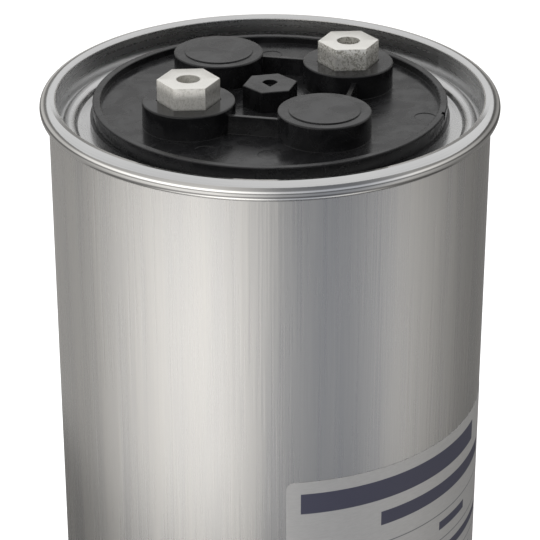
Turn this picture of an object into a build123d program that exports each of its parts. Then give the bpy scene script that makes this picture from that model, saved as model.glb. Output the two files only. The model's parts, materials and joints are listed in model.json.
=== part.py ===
"""DC link film capacitor in a round aluminium can, built piece by piece.

Millimetres. The origin is the centre of the can's base face and +Z points up through the lid.
The two screw terminals lie on the X axis, the two blank bosses on the Y axis.
"""
from build123d import *
import math
import os

# ---------------------------------------------------------------- driving dimensions
# can and seam
can_diameter = 116.0
overall_height = 225.0          # base face to the crown of the rolled seam
can_wall = 1.0
can_base = 2.0
can_base_fillet = 3.0
can_inner_fillet = 1.5
bead_radius = 2.65              # the rolled seam, outer half round
bead_overhang = 2.3             # how far the seam stands out past the can wall
flange_width = 1.7              # the can's own flange, hidden inside the seam
flange_thickness = 1.0
seal_thickness = 0.34
# lid
lid_thickness = 0.8
lid_lip_inset = 2.1             # can radius less the inner edge of the seam
lid_wall_draft = 0.95           # how far the recess wall leans in on its way down
crown_drop = 1.7                # crown of the seam above the lip of the terminal plate
deck_depth = 6.3                # flat of the lid below the lip of the terminal plate
groove_depth = 5.75
ridge_depth = 4.6
ridge_inset = 5.0               # can radius less the crest radius of the stiffening ridge
ridge_foot_inset = 7.5          # can radius less the inner foot of the ridge
deck_margin = 3.3               # bare flat of the lid around the terminal plate
# terminal plate
plate_floor_depth = 1.9
plate_floor_thickness = 2.5
plate_lip_width = 2.1
plate_foot_step = 0.7
plate_foot_top_depth = 4.1
boss_radius = 12.0
boss_height = 4.7               # boss tops above the lip
boss_edge = 0.4
rib_thickness = 1.2             # at the top
rib_draft = 5.0                 # degrees, each side
rib_height = 2.9                # rib tops above the lip
rib_outset = 3.5                # rib centre lines outward of the boss centre lines
hub_radius = 8.6
blank_disc_radius = 9.2
blank_disc_height = 0.25
gate_cut_width = 1.5
gate_cut_reach = 0.8
gate_cut_angle = -47.9
ejector_mark_radius = 2.75
ejector_mark_depth = 0.12
ejector_mark_places = [(3.2, -46.6), (10.7, -124.1), (9.4, 208.7), (8.8, 55.6)]   # in from the lip, angle
# terminals
terminal_pitch = 50.0
hex_across_flats = 14.0
hex_above_boss = 5.8
hex_in_boss = 3.0
pocket_clearance = 0.3
shank_radius = 5.0
shank_clearance = 0.15
post_tail = 1.5                 # shank left showing under the clamping nut
tap_radius = 2.5
tap_depth = 9.5
tap_relief_radius = 3.0
tap_relief_depth = 2.6
tap_mouth_chamfer = 0.15
seal_section = 1.4
seal_radial_width = 2.6
bush_flange_radius = 11.0
bush_flange_thickness = 2.0
bush_wall = 1.8
lid_hole_clearance = 0.15
washer_radius = 9.5
washer_thickness = 1.5
nut_across_flats = 16.0
nut_height = 5.0
# filling plug
plug_across_flats = 12.7
plug_head_height = 5.7
plug_turn = -21.1
plug_shank_radius = 4.0
plug_tail = 3.0
plug_recess_depth = 1.4
plug_recess_radius = 2.0
plug_recess_apex = 3.0          # from the middle of the round end to the point
plug_recess_offset = 0.4
plug_recess_turn = 56.4         # direction of the round end
# winding stack
winding_count = 3
core_radius = 8.0
core_wall = 2.0
spray_thickness = 1.0
headroom = 24.0                 # lid deck down to the top of the winding stack
# connections
strap_thickness = 0.5
strap_width = 12.0
strap_reach = 16.0              # how far each tab reaches in between two windings
strap_standoff = 0.3
strap_bend = 1.5
sleeve_wall = 0.25
sleeve_end_gap = 4.0
# insulation
cup_floor = 3.0
cup_wall = 0.9
cup_height = 12.0
cup_clearance = 0.3
wrap_thickness = 1.0
wrap_clearance = 0.2            # wrap to the cup outside it and to the strap sleeves inside it
spacer_plate = 2.0
spacer_wall = 2.0
spacer_wall_margin = 1.0        # spacer wall inside the foot of the lid's ridge
spacer_plate_margin = 3.0       # spacer plate inside the edge of the windings
spacer_bore_radius = 14.0
spacer_slot_clearance = 2.0
# label
label_thickness = 0.08
label_height = 70.0
label_width = 104.8
label_drop = 83.0               # lip of the terminal plate down to the label's top edge
label_middle_angle = -67.75
label_corner = 2.3

# ---------------------------------------------------------------- derived places
can_radius = can_diameter / 2
can_bore_radius = can_radius - can_wall
lip_z = overall_height - crown_drop
deck_z = lip_z - deck_depth
deck_under_z = deck_z - lid_thickness
floor_z = lip_z - plate_floor_depth
boss_top_z = lip_z + boss_height
rib_top_z = lip_z + rib_height
bead_centre_r = can_radius + bead_overhang - bead_radius
bead_centre_z = overall_height - bead_radius
seam_inner_r = bead_radius - lid_thickness
flange_top_z = overall_height - lid_thickness - seal_thickness - 0.06
plate_foot_radius = can_radius - ridge_foot_inset - deck_margin
plate_lip_radius = plate_foot_radius - plate_foot_step
hex_bottom_z = boss_top_z - hex_in_boss
hex_top_z = boss_top_z + hex_above_boss
seal_top_z = deck_z + seal_section
bush_bottom_z = deck_under_z - bush_flange_thickness
washer_bottom_z = bush_bottom_z - washer_thickness
strap_bottom_z = washer_bottom_z - strap_thickness
nut_bottom_z = strap_bottom_z - nut_height
post_bottom_z = nut_bottom_z - post_tail
bush_radius = shank_radius + shank_clearance + bush_wall
seal_inner_radius = bush_radius + shank_clearance
seal_outer_radius = seal_inner_radius + seal_radial_width
stack_bottom_z = can_base + cup_floor
stack_top_z = deck_z - headroom
winding_height = (stack_top_z - stack_bottom_z - (winding_count + 1) * strap_thickness) / winding_count
cup_radius = can_bore_radius - cup_clearance
wrap_outer_radius = cup_radius - cup_wall - wrap_clearance
wrap_inner_radius = wrap_outer_radius - wrap_thickness
sleeve_half_width = strap_width / 2 + sleeve_wall
sleeve_outer_x = math.sqrt((wrap_inner_radius - wrap_clearance) ** 2 - sleeve_half_width ** 2)
strap_outer_x = sleeve_outer_x - sleeve_wall
strap_inner_x = strap_outer_x - strap_thickness
winding_radius = strap_inner_x - strap_standoff
spacer_wall_radius = can_radius - ridge_foot_inset - spacer_wall_margin
spacer_plate_radius = winding_radius - spacer_plate_margin
terminal_x = {"a": -terminal_pitch / 2, "b": terminal_pitch / 2}
boss_places = [(terminal_pitch / 2, 0), (0, terminal_pitch / 2),
               (-terminal_pitch / 2, 0), (0, -terminal_pitch / 2)]


def save(piece, node):
    """Label a finished piece and write it to its own STEP file."""
    piece.label = node
    export_step(piece, "parts/" + node + ".step")


def tab_z(level):
    """Underside of the strap gap below winding number level, counted from the bottom."""
    return stack_bottom_z + level * (winding_height + strap_thickness)


os.makedirs("parts", exist_ok=True)

# ---------------------------------------------------------------- can
# Impact-extruded cup: flat base, straight wall, flange turned outward at the mouth.
with BuildPart() as can:
    with BuildSketch(Plane.XZ):
        with BuildLine():
            Polyline(
                (0, 0),
                (can_radius, 0),
                (can_radius, flange_top_z - flange_thickness),
                (can_bore_radius + flange_width, flange_top_z - flange_thickness),
                (can_bore_radius + flange_width, flange_top_z),
                (can_bore_radius, flange_top_z),
                (can_bore_radius, can_base),
                (0, can_base),
                close=True,
            )
        make_face()
    revolve(axis=Axis.Z)
    bottom_edge = can.edges().filter_by(GeomType.CIRCLE).group_by(Axis.Z)[0].sort_by(SortBy.RADIUS)[-1]
    fillet(bottom_edge, can_base_fillet)
    inner_corner = [edge for edge in can.edges().filter_by(GeomType.CIRCLE)
                    if abs(edge.center().Z - can_base) < 0.01 and abs(edge.radius - can_bore_radius) < 0.01]
    fillet(inner_corner, can_inner_fillet)
    flange_rim = [edge for edge in can.edges().filter_by(GeomType.CIRCLE)
                  if abs(edge.radius - can_bore_radius - flange_width) < 0.01]
    fillet(flange_rim, flange_thickness * 0.4)
save(can.part, "can")

# ---------------------------------------------------------------- lid
# One drawn sheet: round deck, stiffening ridge, groove, recess wall and the curl that closes the seam.
wall_top_r = can_radius - lid_lip_inset
groove_r = wall_top_r - lid_wall_draft
ridge_r = can_radius - ridge_inset
ridge_foot_r = can_radius - ridge_foot_inset
wall_top_z = overall_height - 1.0
curl_end_r = can_radius + 0.05


def circle_z(radius, at_r, sign):
    """Height on a circle about the seam's centre, above or below, at a radius from the can's axis."""
    return bead_centre_z + sign * math.sqrt(radius ** 2 - (at_r - bead_centre_r) ** 2)


with BuildPart() as lid:
    with BuildSketch(Plane.XZ):
        with BuildLine():
            top_deck = Line((0, deck_z), (ridge_foot_r, deck_z))
            ridge_in = ThreePointArc(
                (ridge_foot_r, deck_z),
                (ridge_r, lip_z - ridge_depth),
                (groove_r - 0.5, lip_z - groove_depth),
            )
            groove_top = Line(ridge_in @ 1, (groove_r, lip_z - groove_depth))
            wall_top = Line(groove_top @ 1, (wall_top_r, wall_top_z))
            edge_top = ThreePointArc(
                wall_top @ 1,
                (wall_top_r + 0.22, overall_height - 0.42),
                (wall_top_r + 0.7, overall_height - 0.2),
            )
            crown_top = Line(edge_top @ 1, (bead_centre_r, overall_height))
            curl_top = ThreePointArc(
                (bead_centre_r, overall_height),
                (bead_centre_r + bead_radius, bead_centre_z),
                (curl_end_r, circle_z(bead_radius, curl_end_r, -1)),
            )
            curl_end = Line(curl_top @ 1, (curl_end_r, circle_z(seam_inner_r, curl_end_r, -1)))
            curl_under = ThreePointArc(
                curl_end @ 1,
                (bead_centre_r + seam_inner_r, bead_centre_z),
                (bead_centre_r, overall_height - lid_thickness),
            )
            crown_under = Line(curl_under @ 1, (wall_top_r + lid_thickness, overall_height - lid_thickness))
            wall_under = Line(crown_under @ 1, (groove_r + lid_thickness, lip_z - groove_depth - lid_thickness))
            groove_under = Line(wall_under @ 1, (groove_r - 0.5, lip_z - groove_depth - lid_thickness))
            ridge_under = ThreePointArc(
                groove_under @ 1,
                (ridge_r, lip_z - ridge_depth - lid_thickness),
                (ridge_foot_r, deck_under_z),
            )
            under_deck = Line(ridge_under @ 1, (0, deck_under_z))
            Line(under_deck @ 1, (0, deck_z))
        make_face()
    revolve(axis=Axis.Z)
    with BuildSketch(Plane.XY.offset(deck_z)):
        with Locations(*[(x, 0) for x in terminal_x.values()]):
            Circle(bush_radius + lid_hole_clearance)
        Circle(plug_shank_radius + lid_hole_clearance)
    extrude(amount=-2 * lid_thickness, mode=Mode.SUBTRACT)
save(lid.part, "lid")

# ---------------------------------------------------------------- seam gasket
# A flat elastomer ring squeezed between the can's flange and the curl of the lid.
gasket_inner_r = wall_top_r + lid_thickness + 0.1
gasket_outer_r = bead_centre_r + 0.15
with BuildPart() as seam_gasket:
    with BuildSketch(Plane.XY.offset(flange_top_z)):
        Circle(gasket_outer_r)
        Circle(gasket_inner_r, mode=Mode.SUBTRACT)
    extrude(amount=seal_thickness)
save(seam_gasket.part, "seam_gasket")

# ---------------------------------------------------------------- terminal plate
# Black moulding: shallow dish with a lip and foot, four bosses, four ribs and a central hub.
with BuildPart() as terminal_plate:
    with BuildSketch(Plane.XZ):
        with BuildLine():
            Polyline(
                (0, floor_z),
                (plate_lip_radius - plate_lip_width, floor_z),
                (plate_lip_radius - plate_lip_width, lip_z),
                (plate_lip_radius, lip_z),
                (plate_lip_radius, lip_z - plate_foot_top_depth),
                (plate_foot_radius, lip_z - plate_foot_top_depth),
                (plate_foot_radius, deck_z),
                (plate_lip_radius - plate_lip_width, deck_z),
                (plate_lip_radius - plate_lip_width, floor_z - plate_floor_thickness),
                (0, floor_z - plate_floor_thickness),
                close=True,
            )
        make_face()
    revolve(axis=Axis.Z)
    lip_edges = [edge for edge in terminal_plate.edges().filter_by(GeomType.CIRCLE)
                 if abs(edge.center().Z - lip_z) < 0.01]
    fillet(lip_edges, 0.35)
    # bosses and hub, standing on the lid's deck and rising through the floor
    with BuildSketch(Plane.XY.offset(deck_z)):
        with Locations(*boss_places):
            Circle(boss_radius)
    extrude(amount=boss_top_z - deck_z)
    with BuildSketch(Plane.XY.offset(deck_z)):
        Circle(hub_radius)
    extrude(amount=floor_z - deck_z)
    # ribs from boss to boss
    boss_side = terminal_pitch / math.sqrt(2)
    rib_rise = rib_top_z - floor_z + plate_floor_thickness / 2
    rib_foot_thickness = rib_thickness + 2 * rib_rise * math.tan(math.radians(rib_draft))
    with BuildSketch(Plane.XY.offset(floor_z - plate_floor_thickness / 2)):
        with PolarLocations(boss_side / 2 + rib_outset, 4, start_angle=45):
            Rectangle(rib_foot_thickness, boss_side - boss_radius)
    extrude(amount=rib_rise, taper=rib_draft)
    boss_rims = [edge for edge in terminal_plate.edges().filter_by(GeomType.CIRCLE)
                 if abs(edge.center().Z - boss_top_z) < 0.01]
    fillet(boss_rims, boss_edge)
    # hexagon pockets and post holes in the terminal bosses
    with BuildSketch(Plane.XY.offset(boss_top_z)):
        with Locations(*[(x, 0) for x in terminal_x.values()]):
            RegularPolygon(hex_across_flats / 2 + pocket_clearance, 6, major_radius=False, rotation=30)
    extrude(amount=-hex_in_boss, mode=Mode.SUBTRACT)
    with BuildSketch(Plane.XY.offset(deck_z)):
        with Locations(*[(x, 0) for x in terminal_x.values()]):
            Circle(shank_radius + shank_clearance)
        Circle(plug_shank_radius + shank_clearance)
    extrude(amount=boss_top_z - deck_z, mode=Mode.SUBTRACT)
    # seats for the round seals, and room for the bush spigots, under the bosses and the hub
    with BuildSketch(Plane.XY.offset(deck_z)):
        with Locations(*[(x, 0) for x in terminal_x.values()]):
            Circle(seal_outer_radius + shank_clearance)
        Circle(plug_shank_radius + shank_clearance + seal_radial_width)
    extrude(amount=seal_section, mode=Mode.SUBTRACT)
    # low raised disc on each blank boss
    with BuildSketch(Plane.XY.offset(boss_top_z)):
        with Locations(*[place for place in boss_places if place[0] == 0]):
            Circle(blank_disc_radius)
    extrude(amount=blank_disc_height)
    # shallow round marks left by the mould's ejector pins
    with BuildSketch(Plane.XY.offset(floor_z)):
        for mark_inset, mark_angle in ejector_mark_places:
            with PolarLocations(plate_lip_radius - plate_lip_width - mark_inset, 1, start_angle=mark_angle):
                Circle(ejector_mark_radius)
    extrude(amount=-ejector_mark_depth, mode=Mode.SUBTRACT)
    # trimmed moulding gate on the lip
    with BuildSketch(Plane.XY.offset(lip_z)):
        with PolarLocations(plate_lip_radius, 1, start_angle=gate_cut_angle):
            Rectangle(2 * gate_cut_reach, gate_cut_width)
    extrude(amount=-plate_floor_depth, mode=Mode.SUBTRACT)
save(terminal_plate.part, "terminal_plate")

# ---------------------------------------------------------------- terminal posts, seals and bushes
for side, post_x in terminal_x.items():
    # hexagon head with a tapped hole below a smooth relief, on a round shank that runs down through the lid
    with BuildPart() as terminal_post:
        with BuildSketch(Plane.XY.offset(hex_bottom_z)):
            with Locations((post_x, 0)):
                RegularPolygon(hex_across_flats / 2, 6, major_radius=False, rotation=30)
        extrude(amount=hex_top_z - hex_bottom_z)
        with BuildSketch(Plane.XY.offset(post_bottom_z)):
            with Locations((post_x, 0)):
                Circle(shank_radius)
        extrude(amount=hex_bottom_z - post_bottom_z)
        with BuildSketch(Plane.XY.offset(hex_top_z)):
            with Locations((post_x, 0)):
                Circle(tap_radius)
        extrude(amount=-tap_depth, mode=Mode.SUBTRACT)
        with BuildSketch(Plane.XY.offset(hex_top_z)):
            with Locations((post_x, 0)):
                Circle(tap_relief_radius)
        extrude(amount=-tap_relief_depth, mode=Mode.SUBTRACT)
        tap_mouth = [edge for edge in terminal_post.edges().filter_by(GeomType.CIRCLE)
                     if abs(edge.center().Z - hex_top_z) < 0.01]
        chamfer(tap_mouth, tap_mouth_chamfer)
    save(terminal_post.part, "terminal_post_" + side)

    with BuildPart() as post_seal:
        with BuildSketch(Plane.XY.offset(deck_z)):
            with Locations((post_x, 0)):
                Circle(seal_outer_radius)
                Circle(seal_inner_radius, mode=Mode.SUBTRACT)
        extrude(amount=seal_section)
    save(post_seal.part, "post_seal_" + side)

    # flanged bush: its spigot keeps the post off the edge of the lid's hole
    with BuildPart() as post_bush:
        with BuildSketch(Plane.XY.offset(bush_bottom_z)):
            with Locations((post_x, 0)):
                Circle(bush_flange_radius)
        extrude(amount=bush_flange_thickness)
        with BuildSketch(Plane.XY.offset(deck_under_z)):
            with Locations((post_x, 0)):
                Circle(bush_radius)
        extrude(amount=seal_top_z - deck_under_z)
        with BuildSketch(Plane.XY.offset(bush_bottom_z)):
            with Locations((post_x, 0)):
                Circle(shank_radius + shank_clearance)
        extrude(amount=seal_top_z - bush_bottom_z, mode=Mode.SUBTRACT)
    save(post_bush.part, "post_bush_" + side)

# ---------------------------------------------------------------- washers and nuts under the lid
with BuildPart() as post_washers:
    with BuildSketch(Plane.XY.offset(washer_bottom_z)):
        with Locations(*[(x, 0) for x in terminal_x.values()]):
            Circle(washer_radius)
            Circle(shank_radius + shank_clearance, mode=Mode.SUBTRACT)
    extrude(amount=washer_thickness)
save(post_washers.part, "post_washers")

with BuildPart() as post_nuts:
    with BuildSketch(Plane.XY.offset(nut_bottom_z)):
        with Locations(*[(x, 0) for x in terminal_x.values()]):
            RegularPolygon(nut_across_flats / 2, 6, major_radius=False)
            Circle(shank_radius, mode=Mode.SUBTRACT)
    extrude(amount=nut_height)
save(post_nuts.part, "post_nuts")

# ---------------------------------------------------------------- filling plug and its seal
plug_top_z = floor_z + plug_head_height
with BuildPart() as fill_plug:
    with BuildSketch(Plane.XY.offset(floor_z)):
        RegularPolygon(plug_across_flats / 2, 6, major_radius=False, rotation=plug_turn)
    extrude(amount=plug_head_height)
    fillet(fill_plug.edges().group_by(Axis.Z)[-1], 0.3)
    with BuildSketch(Plane.XY.offset(floor_z)):
        Circle(plug_shank_radius)
    extrude(amount=deck_under_z - plug_tail - floor_z)
    # drop-shaped recess in the head: round at one end, pointed at the other
    with BuildSketch(Plane.XY.offset(plug_top_z).rotated((0, 0, plug_recess_turn))):
        with BuildLine():
            round_end = CenterArc((plug_recess_offset, 0), plug_recess_radius, -90, 180)
            Line(round_end @ 1, (plug_recess_offset - plug_recess_apex, 0))
            Line((plug_recess_offset - plug_recess_apex, 0), round_end @ 0)
        make_face()
    extrude(amount=-plug_recess_depth, mode=Mode.SUBTRACT)
save(fill_plug.part, "fill_plug")

with BuildPart() as plug_seal:
    with BuildSketch(Plane.XY.offset(deck_z)):
        Circle(plug_shank_radius + seal_radial_width)
        Circle(plug_shank_radius + shank_clearance, mode=Mode.SUBTRACT)
    extrude(amount=seal_section)
save(plug_seal.part, "plug_seal")

# ---------------------------------------------------------------- windings
# Metallised film rolls, one above the other, each with its core tube and sprayed metal ends.
winding_names = ["bottom", "middle", "top"]
for level, place in enumerate(winding_names):
    winding_z = tab_z(level) + strap_thickness
    film_z = winding_z + spray_thickness
    film_width = winding_height - 2 * spray_thickness

    with BuildPart() as film_roll:
        with BuildSketch(Plane.XY.offset(film_z)):
            Circle(winding_radius)
            Circle(core_radius, mode=Mode.SUBTRACT)
        extrude(amount=film_width)
    save(film_roll.part, "film_roll_" + place)

    with BuildPart() as core_tube:
        with BuildSketch(Plane.XY.offset(film_z)):
            Circle(core_radius)
            Circle(core_radius - core_wall, mode=Mode.SUBTRACT)
        extrude(amount=film_width)
    save(core_tube.part, "core_tube_" + place)

    for end, spray_z in (("lower", winding_z), ("upper", film_z + film_width)):
        with BuildPart() as end_spray:
            with BuildSketch(Plane.XY.offset(spray_z)):
                Circle(winding_radius)
                Circle(core_radius, mode=Mode.SUBTRACT)
            extrude(amount=spray_thickness)
        save(end_spray.part, "end_spray_" + place + "_" + end)

# ---------------------------------------------------------------- connection straps
# Strap a joins the top face of the stack and the lower joint; strap b joins the upper joint and the
# bottom face, so the three windings stand in parallel between the two terminals.
strap_levels = {"a": (winding_count, 1), "b": (winding_count - 1, 0)}
strap_mid_x = strap_inner_x + strap_thickness / 2
for side, post_x in terminal_x.items():
    hand = math.copysign(1, post_x)
    highest, lowest = strap_levels[side]
    with BuildPart() as strap:
        with BuildSketch(Plane.XZ):
            with BuildLine():
                route = FilletPolyline(
                    (post_x, strap_bottom_z + strap_thickness / 2),
                    (hand * strap_mid_x, strap_bottom_z + strap_thickness / 2),
                    (hand * strap_mid_x, tab_z(lowest)),
                    radius=strap_bend,
                )
            trace(route, line_width=strap_thickness)
            for level in (highest, lowest):
                with Locations((hand * (strap_outer_x - strap_reach / 2), tab_z(level) + strap_thickness / 2)):
                    Rectangle(strap_reach, strap_thickness)
        extrude(amount=strap_width / 2, both=True)
        with BuildSketch(Plane.XY.offset(strap_bottom_z)):
            with Locations((post_x, 0)):
                Circle(washer_radius)
        extrude(amount=strap_thickness)
        with BuildSketch(Plane.XY.offset(strap_bottom_z)):
            with Locations((post_x, 0)):
                Circle(shank_radius + shank_clearance)
        extrude(amount=strap_thickness, mode=Mode.SUBTRACT)
    save(strap.part, "strap_" + side)

    # flat insulating sleeve on the strap's run past the other polarity
    sleeve_bottom_z = tab_z(lowest) + strap_thickness + sleeve_end_gap
    sleeve_top_z = tab_z(highest) - sleeve_end_gap
    with BuildPart() as strap_sleeve:
        with BuildSketch(Plane.XY.offset(sleeve_bottom_z)):
            with Locations((hand * strap_mid_x, 0)):
                Rectangle(strap_thickness + 2 * sleeve_wall, strap_width + 2 * sleeve_wall)
                Rectangle(strap_thickness, strap_width, mode=Mode.SUBTRACT)
        extrude(amount=sleeve_top_z - sleeve_bottom_z)
    save(strap_sleeve.part, "strap_sleeve_" + side)

# ---------------------------------------------------------------- insulation around the stack
# Moulded cup that centres the stack in the foot of the can
with BuildPart() as base_cup:
    with BuildSketch(Plane.XY.offset(can_base)):
        Circle(cup_radius)
    extrude(amount=cup_floor + cup_height)
    fillet(base_cup.edges().group_by(Axis.Z)[0], can_inner_fillet + cup_clearance)
    with BuildSketch(Plane.XY.offset(stack_bottom_z)):
        Circle(cup_radius - cup_wall)
    extrude(amount=cup_height, mode=Mode.SUBTRACT)
save(base_cup.part, "base_cup")

# Film wrap round the stack, standing in the cup
wrap_top_z = stack_top_z + spacer_plate
with BuildPart() as insulating_wrap:
    with BuildSketch(Plane.XY.offset(stack_bottom_z)):
        Circle(wrap_outer_radius)
        Circle(wrap_inner_radius, mode=Mode.SUBTRACT)
    extrude(amount=wrap_top_z - stack_bottom_z)
save(insulating_wrap.part, "insulating_wrap")

# Moulded spacer that holds the stack down from the lid, slotted where the straps pass
with BuildPart() as top_spacer:
    with BuildSketch(Plane.XY.offset(stack_top_z)):
        Circle(spacer_plate_radius)
        Circle(spacer_bore_radius, mode=Mode.SUBTRACT)
    extrude(amount=spacer_plate)
    with BuildSketch(Plane.XY.offset(stack_top_z)):
        Circle(spacer_wall_radius)
        Circle(spacer_wall_radius - spacer_wall, mode=Mode.SUBTRACT)
    extrude(amount=deck_under_z - stack_top_z)
    slot_bottom_z = strap_bottom_z - strap_bend - spacer_slot_clearance
    with BuildSketch(Plane.XY.offset(slot_bottom_z)):
        Rectangle(4 * spacer_wall_radius, strap_width + 2 * spacer_slot_clearance)
    extrude(amount=deck_under_z - slot_bottom_z, mode=Mode.SUBTRACT)
save(top_spacer.part, "top_spacer")

# ---------------------------------------------------------------- label
# Thin foil wrapped on the can wall
label_top_z = lip_z - label_drop
label_span = math.degrees(label_width / can_radius)
label_start = label_middle_angle - label_span / 2
with BuildPart() as label:
    with BuildSketch(Plane.XZ.rotated((0, 0, label_start))):
        with Locations((can_radius + label_thickness / 2, label_top_z - label_height / 2)):
            Rectangle(label_thickness, label_height)
    revolve(axis=Axis.Z, revolution_arc=label_span)
    corner_edges = label.edges().filter_by(lambda edge: edge.length < 2 * label_thickness)
    fillet(corner_edges, label_corner)
save(label.part, "label")
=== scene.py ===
"""Finishes and studio for a DC link film capacitor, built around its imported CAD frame. Metres throughout."""
import json
import math

import bpy
from bpy.props import FloatProperty, FloatVectorProperty, IntProperty, PointerProperty
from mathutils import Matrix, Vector


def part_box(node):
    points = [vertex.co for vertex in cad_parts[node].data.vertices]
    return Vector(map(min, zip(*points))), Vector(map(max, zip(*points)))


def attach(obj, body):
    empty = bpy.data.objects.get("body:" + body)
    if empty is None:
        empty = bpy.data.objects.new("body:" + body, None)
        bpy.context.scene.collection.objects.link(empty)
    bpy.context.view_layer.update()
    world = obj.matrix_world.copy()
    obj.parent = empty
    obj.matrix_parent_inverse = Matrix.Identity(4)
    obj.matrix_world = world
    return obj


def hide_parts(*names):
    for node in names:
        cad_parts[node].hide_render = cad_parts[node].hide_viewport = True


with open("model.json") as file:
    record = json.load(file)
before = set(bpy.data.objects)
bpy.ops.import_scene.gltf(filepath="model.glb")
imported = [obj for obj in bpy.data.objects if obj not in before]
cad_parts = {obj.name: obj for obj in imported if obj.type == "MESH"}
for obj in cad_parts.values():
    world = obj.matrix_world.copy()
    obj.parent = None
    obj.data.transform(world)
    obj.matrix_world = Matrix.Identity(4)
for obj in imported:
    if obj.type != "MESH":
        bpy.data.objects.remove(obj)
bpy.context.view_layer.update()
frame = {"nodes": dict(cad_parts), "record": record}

bl_info = {
    "name": "Film Capacitor Finishes",
    "version": (1, 0, 0),
    "blender": (4, 5, 0),
    "location": "3D Viewport > Sidebar > Capacitor",
    "description": "Finishes, terminals, label and studio for a round DC link film capacitor",
    "category": "Object",
}

MM = 0.001
MOUNTS = {mount["name"]: mount for mount in frame["record"]["mounts"]}
CAN_RADIUS = MOUNTS["can_band"]["dims"]["r_mm"]
TERMINAL_PITCH = MOUNTS["terminal_pair"]["dims"]["spacing_x_mm"]
TAP_RADIUS = MOUNTS["terminal_a_thread"]["dims"]["r_mm"]
TAP_LENGTH = MOUNTS["terminal_a_thread"]["dims"]["length_mm"]


def box_mm(node):
    """Lowest and highest corner of a CAD node, in millimetres."""
    low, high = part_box(node)
    return Vector(low) / MM, Vector(high) / MM


# ------------------------------------------------------------------ sizes, colours and studio settings
class CapacitorSizes(bpy.types.PropertyGroup):
    """Sizes of the pieces that are modelled finer than their CAD solids, in millimetres."""
    thread_pitch: FloatProperty(name="Thread pitch", description="Pitch of the terminal thread",
                                default=1.0, min=0.5)
    thread_depth: FloatProperty(name="Thread depth", description="Depth of the thread flanks",
                                default=0.5, min=0.1)
    relief_radius: FloatProperty(name="Relief radius", description="Smooth bore above the thread",
                                 default=3.0)
    relief_depth: FloatProperty(name="Relief depth", description="Depth of the smooth bore", default=2.6)
    mouth_chamfer: FloatProperty(name="Mouth chamfer", description="Chamfer at the bore's mouth",
                                 default=0.15)
    edge_break: FloatProperty(name="Edge break", description="Small bevel on the hexagon's edges",
                              default=0.12)
    shank_radius: FloatProperty(name="Shank radius", description="Round shank below the hexagon",
                                default=5.0)
    hex_in_boss: FloatProperty(name="Hexagon in boss", description="Hexagon hidden in its pocket",
                               default=3.0)
    around: IntProperty(name="Segments", description="Points round a turned piece, a multiple of 12",
                        default=120)
    label_corner: FloatProperty(name="Label corner", description="Corner radius of the label", default=2.3)
    label_columns: IntProperty(name="Label columns", description="Columns along the label", default=150)


class CapacitorFinish(bpy.types.PropertyGroup):
    """Colours of the finishes, linear."""
    can_light: FloatVectorProperty(name="Can, light streaks", description="Drawn aluminium, pale streaks",
                                   subtype="COLOR", default=(0.60, 0.595, 0.585))
    can_dark: FloatVectorProperty(name="Can, dark streaks", description="Drawn aluminium, darker streaks",
                                  subtype="COLOR", default=(0.53, 0.53, 0.535))
    lid_metal: FloatVectorProperty(name="Lid", description="Bright rolled sheet of the lid",
                                   subtype="COLOR", default=(0.56, 0.56, 0.56))
    plastic: FloatVectorProperty(name="Black moulding", description="Terminal plate and plug",
                                 subtype="COLOR", default=(0.006, 0.006, 0.0065))
    plastic_bloom: FloatVectorProperty(name="Moulding bloom", description="Paler flow marks and dust",
                                       subtype="COLOR", default=(0.020, 0.020, 0.021))
    tin: FloatVectorProperty(name="Tin plate", description="Matt tin of the terminals",
                             subtype="COLOR", default=(0.70, 0.69, 0.655))
    tin_scuff: FloatVectorProperty(name="Tin scuffs", description="Darker scuffs in the tin",
                                   subtype="COLOR", default=(0.27, 0.26, 0.225))
    foil: FloatVectorProperty(name="Label foil", description="Matt silver label stock",
                              subtype="COLOR", default=(0.52, 0.515, 0.51))
    ink: FloatVectorProperty(name="Label ink", description="Dark print on the label",
                             subtype="COLOR", default=(0.026, 0.027, 0.062))
    pale_ink: FloatVectorProperty(name="Label grey", description="Grey print on the label",
                                  subtype="COLOR", default=(0.12, 0.125, 0.14))


class CapacitorStudio(bpy.types.PropertyGroup):
    """Camera and lamps."""
    azimuth: FloatProperty(name="Azimuth", description="Camera's turn round the part", subtype="ANGLE",
                           default=math.radians(-33.6))
    reach: FloatProperty(name="Camera reach", description="Level distance from the axis",
                         unit="LENGTH", default=0.560)
    rise: FloatProperty(name="Camera rise", description="Height above the lid's rim",
                        unit="LENGTH", default=0.2255)
    pitch: FloatProperty(name="Pitch", description="How far the camera looks down", subtype="ANGLE",
                         default=math.radians(26.4))
    lens: FloatProperty(name="Lens", description="Focal length in millimetres", default=153.2)
    floor_color: FloatVectorProperty(name="Floor", description="Plain pale floor", subtype="COLOR",
                                     default=(0.90, 0.90, 0.90))
    sky_fill: FloatProperty(name="Sky fill", description="Even light from all round", default=0.50)
    key_power: FloatProperty(name="Key", description="Soft panel at the front left", default=4.0)
    top_power: FloatProperty(name="Top", description="Large soft panel overhead", default=6.0)
    floor_lift: FloatProperty(name="Floor lift", description="Lifts the floor to white where it is seen",
                              default=0.35)
    drum_radius: FloatProperty(name="Drum", description="Radius of the ring of cards that metal reflects",
                               unit="LENGTH", default=0.30)
    drum_height: FloatProperty(name="Drum height", description="Height of the drum of cards", unit="LENGTH",
                               default=0.32)
    drum_slant: FloatProperty(name="Drum slant", description="Extra height of the cards behind the camera",
                              unit="LENGTH", default=0.22)


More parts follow.
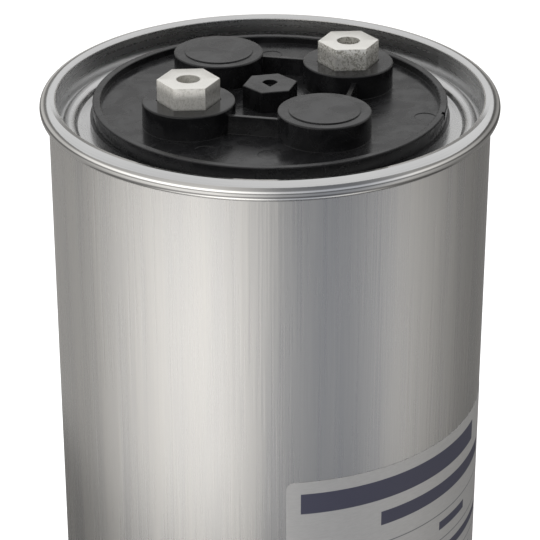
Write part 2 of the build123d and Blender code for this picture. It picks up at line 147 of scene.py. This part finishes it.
# ------------------------------------------------------------------ shader maths
class Signal:
    """One value in a material. Arithmetic on it adds Math nodes."""

    def __init__(self, recipe, socket):
        self.recipe = recipe
        self.socket = socket

    def math(self, operation, *others):
        return self.recipe.add("ShaderNodeMath", {"operation": operation}, [self, *others])

    def __add__(self, other):
        return self.math("ADD", other)

    __radd__ = __add__

    def __mul__(self, other):
        return self.math("MULTIPLY", other)

    __rmul__ = __mul__

    def __sub__(self, other):
        return self.math("SUBTRACT", other)

    def __rsub__(self, other):
        return self.recipe.add("ShaderNodeMath", {"operation": "SUBTRACT"}, [other, self])

    def __truediv__(self, other):
        return self.math("DIVIDE", other)

    def __pow__(self, other):
        return self.math("POWER", other)

    def ease(self, low, high):
        """0 below low, 1 above high, with a smooth step between."""
        return self.recipe.add("ShaderNodeMapRange", {"interpolation_type": "SMOOTHSTEP"},
                               {"Value": self, "From Min": low, "From Max": high})

    def between(self, low, high, edge):
        """1 where the value lies between low and high."""
        return self.ease(low - edge, low + edge) * (1 - self.ease(high - edge, high + edge))


class Recipe:
    """A new material and the nodes that feed its shader."""

    def __init__(self, name):
        self.material = bpy.data.materials.new(name)
        self.material.use_nodes = True
        self.tree = self.material.node_tree
        self.shader = self.tree.nodes["Principled BSDF"]

    def set_socket(self, socket, value):
        if isinstance(value, Signal):
            self.tree.links.new(value.socket, socket)
        elif socket.type == "RGBA" and len(value) == 3:
            socket.default_value = (*value, 1.0)
        else:
            socket.default_value = value

    def add(self, kind, settings, values, output=0):
        """A node of one kind: its settings first, then the values or links of its sockets."""
        node = self.tree.nodes.new(kind)
        for name, value in settings.items():
            if name == "stops":
                ramp = node.color_ramp
                while len(ramp.elements) < len(value):
                    ramp.elements.new(0.5)
                for element, (place, shade) in zip(ramp.elements, value):
                    element.position = place
                    element.color = (shade, shade, shade, 1.0)
            else:
                setattr(node, name, value)
        pairs = values.items() if isinstance(values, dict) else enumerate(values)
        for key, value in pairs:
            self.set_socket(node.inputs[key], value)
        return Signal(self, node.outputs[output])

    def place(self):
        """The point on the object, in millimetres."""
        point = self.add("ShaderNodeTexCoord", {}, {}, "Object")
        return self.add("ShaderNodeVectorMath", {"operation": "SCALE"}, {0: point, "Scale": 1 / MM})

    def split(self, vector):
        """The three parts of a vector."""
        node = self.add("ShaderNodeSeparateXYZ", {}, [vector]).socket.node
        return [Signal(self, node.outputs[axis]) for axis in "XYZ"]

    def stretch(self, vector, scale):
        """The vector times a scale of its own on each axis."""
        return self.add("ShaderNodeVectorMath", {"operation": "MULTIPLY"}, {0: vector, 1: scale})

    def noise(self, vector, scale, detail=2.0, roughness=0.5, distortion=0.0):
        return self.add("ShaderNodeTexNoise", {}, {"Vector": vector, "Scale": scale, "Detail": detail,
                                                   "Roughness": roughness, "Distortion": distortion})

    def blend(self, factor, first, second):
        """A colour from first at factor 0 to second at factor 1."""
        return self.add("ShaderNodeMix", {"data_type": "RGBA"}, {0: factor, 6: first, 7: second}, 2)

    def bump(self, height, depth_mm, strength=1.0):
        """A surface normal from a height between 0 and 1, depth_mm deep."""
        values = {"Strength": strength, "Distance": depth_mm * MM, "Height": height}
        return self.add("ShaderNodeBump", {}, values)

    def finish(self, **sockets):
        """Set or link the shader's sockets, named with underscores for spaces, and return the material."""
        for name, value in sockets.items():
            self.set_socket(self.shader.inputs[name.replace("_", " ")], value)
        return self.material


# ------------------------------------------------------------------ finishes
def drawn_aluminium(finish):
    """Satin can wall with fine streaks along the draw."""
    recipe = Recipe("drawn_aluminium")
    point = recipe.place()
    fine = recipe.noise(recipe.stretch(point, (1.5, 1.5, 0.012)), 1.0, 4.0, 0.65)
    broad = recipe.noise(recipe.stretch(point, (0.16, 0.16, 0.006)), 1.0, 3.0, 0.6)
    cloud = recipe.noise(point, 0.035, 3.0, 0.5)
    tone = (fine * 0.35 + broad * 0.65).ease(0.32, 0.68)
    color = recipe.blend(tone, finish.can_dark, finish.can_light)
    rough = 0.15 + fine * 0.10 + broad * 0.10 + cloud * 0.06
    normal = recipe.bump(fine * 0.25 + broad * 0.75, 0.24, 0.65)
    return recipe.finish(Base_Color=color, Metallic=1.0, Roughness=rough, Normal=normal)


def rolled_sheet(finish):
    """Bright lid sheet with faint turning rings and hairline scratches."""
    recipe = Recipe("rolled_sheet")
    point = recipe.place()
    east, north, height = recipe.split(point)
    radius = (east * east + north * north) ** 0.5
    ring_place = recipe.add("ShaderNodeCombineXYZ", {}, [radius * 1.4, height * 1.4, 0.0])
    rings = recipe.noise(ring_place, 1.0, 3.0, 0.6)
    scratch = recipe.noise(recipe.stretch(point, (0.9, 0.12, 0.9)), 2.2, 4.0, 0.7)
    cloud = recipe.noise(point, 0.05, 2.0, 0.5)
    shade = recipe.blend((rings * 0.5 + cloud * 0.5).ease(0.3, 0.7), [c * 0.9 for c in finish.lid_metal],
                         finish.lid_metal)
    inside = 1 - radius.ease(55.9, 56.6)
    rough = 0.06 + rings * 0.05 + scratch.ease(0.5, 0.8) * 0.04 + cloud * 0.04 + inside * 0.17
    normal = recipe.bump(rings, 0.003, 0.3)
    return recipe.finish(Base_Color=shade, Metallic=1.0, Roughness=rough, Normal=normal)


def black_moulding(finish):
    """Black moulded plastic: fine grain, flow marks and softly rounded edges."""
    recipe = Recipe("black_moulding")
    point = recipe.place()
    grain = recipe.noise(point, 2.6, 3.0, 0.6)
    flow = recipe.noise(recipe.stretch(point, (0.05, 0.16, 0.1)), 1.0, 4.0, 0.6, 0.6)
    smear = recipe.noise(point, 0.12, 4.0, 0.65, 0.8)
    bloom = (flow * 0.5 + smear * 0.5).ease(0.40, 0.72) * 0.6 + grain.ease(0.55, 0.8) * 0.12
    color = recipe.blend(bloom, finish.plastic, finish.plastic_bloom)
    rough = 0.10 + grain * 0.08 + (smear * 0.6 + flow * 0.4).ease(0.36, 0.64) * 0.20
    rounded = recipe.add("ShaderNodeBevel", {"samples": 6}, {"Radius": 0.22 * MM})
    normal = recipe.add("ShaderNodeBump", {}, {"Strength": 0.5, "Distance": 0.02 * MM,
                                               "Height": grain * 0.8 + smear * 0.2, "Normal": rounded})
    return recipe.finish(Base_Color=color, Roughness=rough, Normal=normal, IOR=1.36)


def tin_plate(finish, name, scuffing):
    """Matt tin plate with cloudy scuffs on the wrench flats, more of them where scuffing is higher."""
    recipe = Recipe(name)
    point = recipe.place()
    east, north, up = recipe.split(recipe.add("ShaderNodeNewGeometry", {}, {}, "True Normal"))
    side = 1 - up.math("ABSOLUTE").ease(0.3, 0.7)
    grain = recipe.noise(point, 3.0, 4.0, 0.65)
    warp = recipe.noise(point, 0.6, 3.0, 0.65, 1.4)
    blotch = recipe.add("ShaderNodeTexVoronoi", {"feature": "SMOOTH_F1"},
                        {"Vector": point, "Scale": 1.0, "Smoothness": 0.4, "Randomness": 1.0})
    worm = (warp * 3.2 + blotch * 1.1).math("FRACT")
    marks = (worm - 0.5).math("ABSOLUTE").ease(0.28, 0.42) * side * scuffing
    tone = (marks * 0.9 + grain.ease(0.45, 0.8) * 0.18)
    color = recipe.blend(tone.math("MINIMUM", 1.0), finish.tin, finish.tin_scuff)
    rough = 0.26 + grain * 0.16 + marks * 0.14
    normal = recipe.bump(grain * 0.5 + marks * -0.9, 0.03, 0.6)
    return recipe.finish(Base_Color=color, Metallic=0.75, Roughness=rough, Normal=normal)


def label_foil(finish, frame_of_label):
    """Matt silver stock with plain bars and rules. frame_of_label: start angle, width and top edge."""
    start, width, top = frame_of_label
    recipe = Recipe("label_foil")
    point = recipe.place()
    east, north, up = recipe.split(point)
    turn = north.math("ARCTAN2", east) - start
    along = turn.math("WRAP", 2 * math.pi, 0.0) * CAN_RADIUS
    down = top - up
    left_margin, right_margin, ink_edge = 3.8, 4.0, 0.06
    figures = 0.46 * width
    row_top, row_pitch, row_count = 23.0, 8.6, 5
    left, right = left_margin, width - right_margin

    def bar(mask, low, high, upper, lower):
        """Add a bar to a mask: from low to high along the label, and from upper to lower down it."""
        piece = along.between(low, high, ink_edge) * down.between(upper, lower, ink_edge)
        return piece if mask is None else mask.math("MAXIMUM", piece)

    dark = bar(None, left, left + 64.0, 3.6, 9.6)
    dark = bar(dark, left + 22.5, left + 72.0, 13.4, 17.6)
    grey = None
    for line in range(row_count):
        rule = row_top + line * row_pitch
        grey = bar(grey, left, right, rule, rule + 0.35)
        grey = bar(grey, left + 2.0, left + (18.0 if line % 2 else 24.0), rule + 2.8, rule + 5.4)
        dark = bar(dark, figures, figures + 14.0 + 7.0 * (line * 2 % 3), rule + 2.8, rule + 5.4)
    grain = recipe.noise(point, 3.5, 3.0, 0.6)
    brush = recipe.noise(recipe.stretch(point, (0.4, 0.4, 2.4)), 1.2, 3.0, 0.6)
    stock = recipe.blend(brush.ease(0.3, 0.7), [c * 0.93 for c in finish.foil], finish.foil)
    color = recipe.blend(grey * 0.85, stock, finish.pale_ink)
    color = recipe.blend(dark * 0.96, color, finish.ink)
    rough = 0.40 + grain * 0.10 + dark * 0.05
    normal = recipe.bump(grain, 0.006, 0.5)
    metal = 0.55 - dark * 0.5 - grey * 0.3
    metal = metal.math("MAXIMUM", 0.0)
    return recipe.finish(Base_Color=color, Metallic=metal, Roughness=rough, Normal=normal)


def speckled(name, color, contrast, scale, rough, depth_mm, metallic=0.0, stretch=(1.0, 1.0, 1.0)):
    """A plain material of one colour with a grain: its contrast, scale and depth say which."""
    recipe = Recipe(name)
    point = recipe.stretch(recipe.place(), stretch)
    grain = recipe.noise(point, scale, 4.0, 0.6)
    cloud = recipe.noise(point, scale * 0.08, 2.0, 0.5)
    tone = (grain * 0.6 + cloud * 0.4).ease(0.3, 0.7)
    shade = recipe.blend(tone, [c * (1 - contrast) for c in color], color)
    roughness = rough + grain * 0.12
    return recipe.finish(Base_Color=shade, Metallic=metallic, Roughness=roughness,
                         Normal=recipe.bump(grain, depth_mm, 0.6))


def dress(material, slot, *nodes):
    """Give CAD nodes a material. The slot argument is not used."""
    for node in nodes:
        piece = frame["nodes"][node]
        if not piece.material_slots:
            piece.data.materials.append(material)
        for place in piece.material_slots:
            place.material = material


# ------------------------------------------------------------------ mesh helpers
def skin_of_rings(name, rings, capped=True):
    """A skin through rings of points, each ring as long as the next. Capped at both ends, it is closed."""
    count = len(rings[0])
    points = [Vector(point) * MM for ring in rings for point in ring]
    faces = []
    for level in range(len(rings) - 1):
        for step in range(count):
            after = (step + 1) % count
            faces.append((level * count + step, level * count + after,
                          (level + 1) * count + after, (level + 1) * count + step))
    if capped:
        faces.append(tuple(reversed(range(count))))
        faces.append(tuple(range((len(rings) - 1) * count, len(rings) * count)))
    mesh = bpy.data.meshes.new(name)
    mesh.from_pydata(points, [], faces)
    mesh.validate()
    mesh.update()
    piece = bpy.data.objects.new(name, mesh)
    bpy.context.scene.collection.objects.link(piece)
    return piece


def smooth_by_angle(piece, degrees):
    """Smooth shading with creases left at edges sharper than an angle."""
    with bpy.context.temp_override(active_object=piece, selected_objects=[piece], object=piece,
                                   selected_editable_objects=[piece]):
        bpy.ops.object.shade_smooth_by_angle(angle=math.radians(degrees))


def hex_radius(angle, across_flats):
    """Distance from the centre to a hexagon's edge, with flats facing along X."""
    folded = (angle + math.pi / 6) % (math.pi / 3) - math.pi / 6
    return across_flats / 2 / math.cos(folded)


# ------------------------------------------------------------------ operators
class PieceOperator(bpy.types.Operator):
    """Shared options of the capacitor's operators"""
    bl_options = {"REGISTER", "UNDO"}


class CAPACITOR_OT_can(PieceOperator):
    """Finish the drawn aluminium can"""
    bl_idname = "capacitor.can"
    bl_label = "Can"

    def execute(self, context):
        dress(drawn_aluminium(context.scene.capacitor_finish), "can_aluminium", "can")
        return {"FINISHED"}


class CAPACITOR_OT_lid(PieceOperator):
    """Finish the bright lid sheet and its rolled seam"""
    bl_idname = "capacitor.lid"
    bl_label = "Lid"

    def execute(self, context):
        dress(rolled_sheet(context.scene.capacitor_finish), "lid_aluminium", "lid")
        return {"FINISHED"}


class CAPACITOR_OT_terminal_plate(PieceOperator):
    """Finish the black terminal plate and its filling plug"""
    bl_idname = "capacitor.terminal_plate"
    bl_label = "Terminal plate and plug"

    def execute(self, context):
        moulding = black_moulding(context.scene.capacitor_finish)
        dress(moulding, "black_moulding", "terminal_plate", "fill_plug")
        return {"FINISHED"}


class CAPACITOR_OT_terminals(PieceOperator):
    """Build the two hexagon terminals with their threads"""
    bl_idname = "capacitor.terminals"
    bl_label = "Terminals"

    def execute(self, context):
        sizes = context.scene.capacitor_sizes
        finish = context.scene.capacitor_finish
        for side, scuffing in (("a", 0.35), ("b", 1.0)):
            node = "terminal_post_" + side
            low, high = box_mm(node)
            piece = self.build_post(sizes, "threaded_post_" + side, low, high)
            piece.data.materials.append(tin_plate(finish, "tin_plate_" + side, scuffing))
            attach(piece, "root")
            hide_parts(node)
        return {"FINISHED"}

    @staticmethod
    def build_post(sizes, name, low, high):
        """Rings run up the thread from the bottom of the hole, over the top face and down the outside."""
        centre_x = (low.x + high.x) / 2
        flats = high.x - low.x
        top = high.z
        count = sizes.around
        angles = [2 * math.pi * step / count for step in range(count)]
        head_bottom = top - sizes.hex_in_boss - (top - box_mm("terminal_plate")[1].z)
        hole_bottom = top - sizes.relief_depth - TAP_LENGTH

        def ring(radius_at, height_at):
            return [(centre_x + radius_at(a) * math.cos(a), radius_at(a) * math.sin(a), height_at(a))
                    for a in angles]

        def thread_radius(height, angle):
            """Radius of a sixty degree thread, wide at the root and narrow at the crest. It fades in."""
            phase = (height / sizes.thread_pitch - angle / (2 * math.pi)) % 1.0
            depth = 1 - abs(2 * phase - 1)
            fade = min(1.0, max(0.0, (height - hole_bottom) / sizes.thread_pitch - 0.5))
            return TAP_RADIUS + sizes.thread_depth * min(depth * 1.15, 1.0) * fade

        rings = [ring(lambda a: 0.02, lambda a: hole_bottom - 0.8)]
        levels = int(TAP_LENGTH / sizes.thread_pitch * 12)
        for level in range(levels + 1):
            height = hole_bottom + TAP_LENGTH * level / levels
            rings.append(ring(lambda a: thread_radius(height, a), lambda a: height))
        edge = sizes.edge_break
        chamfer = sizes.mouth_chamfer
        rings.append(ring(lambda a: sizes.relief_radius, lambda a: top - sizes.relief_depth))
        rings.append(ring(lambda a: sizes.relief_radius, lambda a: top - chamfer))
        rings.append(ring(lambda a: sizes.relief_radius + chamfer, lambda a: top))
        for inset, drop in ((edge, 0.0), (edge * 0.3, edge * 0.3), (0.0, edge)):
            rings.append(ring(lambda a: hex_radius(a, flats - 2 * inset), lambda a: top - drop))
        for share in (0.33, 0.66, 1.0):
            rings.append(ring(lambda a: hex_radius(a, flats), lambda a: top + (head_bottom - top) * share))
        rings.append(ring(lambda a: sizes.shank_radius, lambda a: head_bottom))
        rings.append(ring(lambda a: sizes.shank_radius, lambda a: low.z + 0.4))
        rings.append(ring(lambda a: sizes.shank_radius - 0.4, lambda a: low.z))
        piece = skin_of_rings(name, rings)
        smooth_by_angle(piece, 28)
        return piece


class CAPACITOR_OT_label(PieceOperator):
    """Build the label as a thin wrapped sheet with round corners"""
    bl_idname = "capacitor.label"
    bl_label = "Label"

    def execute(self, context):
        sizes = context.scene.capacitor_sizes
        node = frame["nodes"]["label"]
        corners = [vertex.co / MM for vertex in node.data.vertices]
        turns = [math.atan2(corner.y, corner.x) for corner in corners]
        outer = max(math.hypot(corner.x, corner.y) for corner in corners)
        start, end = min(turns), max(turns)
        top, bottom = max(corner.z for corner in corners), min(corner.z for corner in corners)
        piece = self.build_sheet(sizes, start, end, top, bottom, outer)
        width = (end - start) * CAN_RADIUS
        finish = context.scene.capacitor_finish
        piece.data.materials.append(label_foil(finish, (start, width, top)))
        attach(piece, "root")
        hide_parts("label")
        return {"FINISHED"}

    @staticmethod
    def build_sheet(sizes, start, end, top, bottom, outer):
        """Each column is a ring round the sheet's section, shorter at the ends for the round corners."""
        corner = sizes.label_corner
        width = (end - start) * CAN_RADIUS
        steps = [corner * (1 - math.cos(math.pi / 2 * step / 8)) for step in range(9)]
        straight = width - 2 * corner
        middle = [corner + straight * step / sizes.label_columns for step in range(1, sizes.label_columns)]
        places = steps + middle + [width - step for step in reversed(steps)]
        rings = []
        for place in places:
            near = min(place, width - place, corner)
            inset = corner - math.sqrt(max(corner ** 2 - (corner - near) ** 2, 0.0))
            inset = min(inset, corner - 0.02)
            turn = start + place / CAN_RADIUS
            high, low = top - inset, bottom + inset
            section = [(CAN_RADIUS, high), (outer, high), (outer, low), (CAN_RADIUS, low)]
            rings.append([(r * math.cos(turn), r * math.sin(turn), z) for r, z in section])
        piece = skin_of_rings("wrapped_label", rings)
        smooth_by_angle(piece, 30)
        return piece


class CAPACITOR_OT_seals(PieceOperator):
    """Finish the rubber seals"""
    bl_idname = "capacitor.seals"
    bl_label = "Seals"

    def execute(self, context):
        rubber = speckled("seal_rubber", (0.035, 0.035, 0.036), 0.35, 1.8, 0.62, 0.02)
        dress(rubber, "seal_rubber", "seam_gasket", "post_seal_a", "post_seal_b", "plug_seal")
        return {"FINISHED"}


class CAPACITOR_OT_clamping(PieceOperator):
    """Finish the bushes, washers and nuts that clamp the posts"""
    bl_idname = "capacitor.clamping"
    bl_label = "Bushes, washers and nuts"

    def execute(self, context):
        moulding = speckled("natural_bush", (0.78, 0.76, 0.68), 0.10, 1.6, 0.42, 0.01)
        steel = speckled("plated_steel", (0.58, 0.59, 0.60), 0.18, 2.4, 0.24, 0.008, metallic=1.0)
        dress(moulding, "natural_moulding", "post_bush_a", "post_bush_b")
        dress(steel, "plated_steel", "post_washers", "post_nuts")
        return {"FINISHED"}


class CAPACITOR_OT_windings(PieceOperator):
    """Finish the three windings: film, core tubes and sprayed ends"""
    bl_idname = "capacitor.windings"
    bl_label = "Windings"

    def execute(self, context):
        film = speckled("metallised_film", (0.55, 0.56, 0.60), 0.22, 1.2, 0.28, 0.01, 0.5, (0.15, 0.15, 2.5))
        core = speckled("core_plastic", (0.74, 0.74, 0.70), 0.10, 1.5, 0.45, 0.01)
        spray = speckled("sprayed_zinc", (0.42, 0.42, 0.43), 0.45, 2.2, 0.62, 0.12, metallic=0.85)
        for place in ("bottom", "middle", "top"):
            dress(film, "metallised_film", "film_roll_" + place)
            dress(core, "core_plastic", "core_tube_" + place)
            dress(spray, "sprayed_zinc", "end_spray_" + place + "_lower", "end_spray_" + place + "_upper")
        return {"FINISHED"}


class CAPACITOR_OT_connections(PieceOperator):
    """Finish the tinned straps and their sleeves"""
    bl_idname = "capacitor.connections"
    bl_label = "Straps and sleeves"

    def execute(self, context):
        tinned = speckled("tinned_copper", (0.62, 0.61, 0.59), 0.15, 1.4, 0.26, 0.006, 1.0, (1.0, 1.0, 0.1))
        sleeve = speckled("strap_insulation", (0.70, 0.60, 0.34), 0.12, 1.0, 0.40, 0.01)
        dress(tinned, "tinned_copper", "strap_a", "strap_b")
        dress(sleeve, "insulating_film", "strap_sleeve_a", "strap_sleeve_b")
        return {"FINISHED"}


class CAPACITOR_OT_insulation(PieceOperator):
    """Finish the wrap, the base cup and the top spacer"""
    bl_idname = "capacitor.insulation"
    bl_label = "Insulation"

    def execute(self, context):
        wrap = speckled("film_wrap", (0.80, 0.78, 0.68), 0.08, 0.8, 0.35, 0.01, 0.0, (1.0, 1.0, 0.1))
        moulding = speckled("natural_moulding", (0.78, 0.76, 0.68), 0.10, 1.2, 0.45, 0.01)
        dress(wrap, "insulating_film", "insulating_wrap")
        dress(moulding, "natural_moulding", "base_cup", "top_spacer")
        return {"FINISHED"}


class CAPACITOR_OT_studio(PieceOperator):
    """Set the floor, the world, the soft panels and the camera"""
    bl_idname = "capacitor.studio"
    bl_label = "Studio"

    def execute(self, context):
        studio = context.scene.capacitor_studio
        context.scene.view_settings.view_transform = "Standard"
        self.lay_floor(context, studio)
        self.stand_drum(context, studio)
        self.light_world(context, studio)
        rim_z = box_mm("lid")[1].z * MM
        self.hang_panels(context, studio, rim_z)
        self.set_camera(context, studio, rim_z)
        return {"FINISHED"}

    @staticmethod
    def lay_floor(context, studio):
        half = 20.0
        mesh = bpy.data.meshes.new("floor")
        corners = [(-half, -half, 0), (half, -half, 0), (half, half, 0), (-half, half, 0)]
        mesh.from_pydata(corners, [], [(0, 1, 2, 3)])
        floor = bpy.data.objects.new("floor", mesh)
        context.scene.collection.objects.link(floor)
        recipe = Recipe("pale_floor")
        mottle = recipe.noise(recipe.place(), 0.02, 3.0, 0.5)
        color = recipe.blend(mottle, [c * 0.985 for c in studio.floor_color], studio.floor_color)
        seen = recipe.add("ShaderNodeLightPath", {}, {}, "Is Camera Ray")
        lift = recipe.blend(seen, (0, 0, 0), [studio.floor_lift] * 3)
        floor.data.materials.append(recipe.finish(Base_Color=color, Roughness=0.85, Specular_IOR_Level=0.1,
                                                  Emission_Color=lift, Emission_Strength=1.0))

    @staticmethod
    def stand_drum(context, studio):
        """Pale and dark cards in a ring round the part. Only gloss sees them, so they light nothing."""
        turns = [2 * math.pi * step / 96 for step in range(96)]
        front = studio.azimuth - math.pi / 2

        def top_edge(turn):
            return (studio.drum_height + studio.drum_slant * max(0.0, math.cos(turn - front))) / MM

        reach = studio.drum_radius / MM
        levels = ((CAN_RADIUS + 6, lambda t: 0.5), (reach, lambda t: 0.5), (reach, top_edge))
        rings = [[(r * math.cos(t), r * math.sin(t), height(t)) for t in turns] for r, height in levels]
        drum = skin_of_rings("drum_of_cards", rings, capped=False)
        recipe = Recipe("drum_cards")
        east, north, up = recipe.split(recipe.place())
        turn = north.math("ARCTAN2", east) - front
        part = turn.math("WRAP", math.pi, -math.pi) / (2 * math.pi) + 0.5
        tone = recipe.add("ShaderNodeValToRGB", {"stops": (
            (0.0, 0.28), (0.08, 0.18), (0.22, 0.25), (0.30, 0.50), (0.37, 0.70), (0.43, 0.74), (0.475, 0.52),
            (0.515, 0.27), (0.56, 0.20), (0.61, 0.205), (0.68, 0.37), (0.75, 0.23), (0.82, 0.12),
            (0.91, 0.11), (1.0, 0.28))}, {"Fac": part})
        radius = (east * east + north * north) ** 0.5
        low_end, span = -200, 600
        rise = (up + radius - reach - low_end) / span
        level = recipe.add("ShaderNodeValToRGB", {"stops": (
            (0.0, 0.85), (0.025, 0.80), (0.08, 0.20), (0.22, 0.22), (0.28, 0.50), (0.52, 0.50), (0.55, 0.22),
            (0.61, 0.24), (0.65, 0.90), (0.74, 0.90), (0.80, 0.35), (1.0, 0.30))}, {"Fac": rise})
        tint = recipe.blend(part.between(0.52, 0.64, 0.07), (1.0, 0.975, 0.935), (0.94, 0.97, 1.04))
        shade = recipe.stretch(tone, tint)
        shade = recipe.add("ShaderNodeVectorMath", {"operation": "SCALE"}, {0: shade, "Scale": level * 4.0})
        drum.data.materials.append(recipe.finish(Base_Color=(0, 0, 0), Specular_IOR_Level=0.0,
                                                 Emission_Color=shade, Emission_Strength=1.0))
        for kind in ("camera", "diffuse", "shadow", "transmission", "volume_scatter"):
            setattr(drum, "visible_" + kind, False)

    @staticmethod
    def light_world(context, studio):
        """White where the camera, gloss or glass looks, and an even fill for everything else."""
        world = bpy.data.worlds.new("studio")
        world.use_nodes = True
        context.scene.world = world
        tree = world.node_tree
        background = tree.nodes["Background"]
        path = tree.nodes.new("ShaderNodeLightPath")
        seen = path.outputs["Is Camera Ray"]
        for name in ("Is Glossy Ray", "Is Transmission Ray"):
            either = tree.nodes.new("ShaderNodeMath")
            either.operation = "MAXIMUM"
            tree.links.new(seen, either.inputs[0])
            tree.links.new(path.outputs[name], either.inputs[1])
            seen = either.outputs[0]
        strength = tree.nodes.new("ShaderNodeMapRange")
        tree.links.new(seen, strength.inputs["Value"])
        strength.inputs["To Min"].default_value = studio.sky_fill
        strength.inputs["To Max"].default_value = 1.0
        tree.links.new(strength.outputs[0], background.inputs["Strength"])
        background.inputs["Color"].default_value = (1, 1, 1, 1)

    @staticmethod
    def heading(studio, degrees, reach, height):
        """A place at an angle from the camera, left positive, seen from above."""
        turn = studio.azimuth - math.pi / 2 - math.radians(degrees)
        return Vector((reach * math.cos(turn), reach * math.sin(turn), height))

    def hang_panels(self, context, studio, rim_z):
        panels = (
            ("key", 50, 0.80, 0.60, (0.50, 0.50), studio.key_power),
            ("top", 160, 0.30, rim_z + 0.80, (0.80, 0.80), studio.top_power),
        )
        for name, degrees, reach, height, (width, tall), power in panels:
            lamp = bpy.data.lights.new(name, "AREA")
            lamp.shape = "RECTANGLE"
            lamp.size, lamp.size_y = width, tall
            lamp.energy = power
            panel = bpy.data.objects.new(name, lamp)
            panel.location = self.heading(studio, degrees, reach, height)
            aim = Vector((0, 0, min(rim_z, height)))
            panel.rotation_euler = (aim - panel.location).to_track_quat("-Z", "Y").to_euler()
            panel.visible_camera = False
            panel.visible_glossy = False
            context.scene.collection.objects.link(panel)

    def set_camera(self, context, studio, rim_z):
        lens = bpy.data.cameras.new("camera")
        lens.sensor_width = 36.0
        lens.lens = studio.lens
        camera = bpy.data.objects.new("camera", lens)
        camera.location = self.heading(studio, 0, studio.reach, rim_z + studio.rise)
        camera.rotation_euler = (math.pi / 2 - studio.pitch, 0, studio.azimuth)
        context.scene.collection.objects.link(camera)
        context.scene.camera = camera


PIECE_OPERATORS = (
    CAPACITOR_OT_can, CAPACITOR_OT_lid, CAPACITOR_OT_terminal_plate, CAPACITOR_OT_terminals,
    CAPACITOR_OT_label,
    CAPACITOR_OT_seals, CAPACITOR_OT_clamping, CAPACITOR_OT_windings, CAPACITOR_OT_connections,
    CAPACITOR_OT_insulation, CAPACITOR_OT_studio,
)


class CAPACITOR_PT_pieces(bpy.types.Panel):
    """Lists the capacitor's operators"""
    bl_label = "Film Capacitor"
    bl_idname = "CAPACITOR_PT_pieces"
    bl_space_type = "VIEW_3D"
    bl_region_type = "UI"
    bl_category = "Capacitor"

    def draw(self, context):
        for operator in PIECE_OPERATORS:
            self.layout.operator(operator.bl_idname)


SETTINGS = {"capacitor_sizes": CapacitorSizes, "capacitor_finish": CapacitorFinish,
            "capacitor_studio": CapacitorStudio}
CLASSES = (*SETTINGS.values(), *PIECE_OPERATORS, CAPACITOR_PT_pieces)


def register():
    for kind in CLASSES:
        bpy.utils.register_class(kind)
    for name, kind in SETTINGS.items():
        setattr(bpy.types.Scene, name, PointerProperty(type=kind))


def unregister():
    for name in SETTINGS:
        delattr(bpy.types.Scene, name)
    for kind in reversed(CLASSES):
        bpy.utils.unregister_class(kind)


def main():
    """Build every piece in order."""
    register()
    for operator in PIECE_OPERATORS:
        group, name = operator.bl_idname.split(".")
        getattr(getattr(bpy.ops, group), name)()


if __name__ == "__main__":
    main()
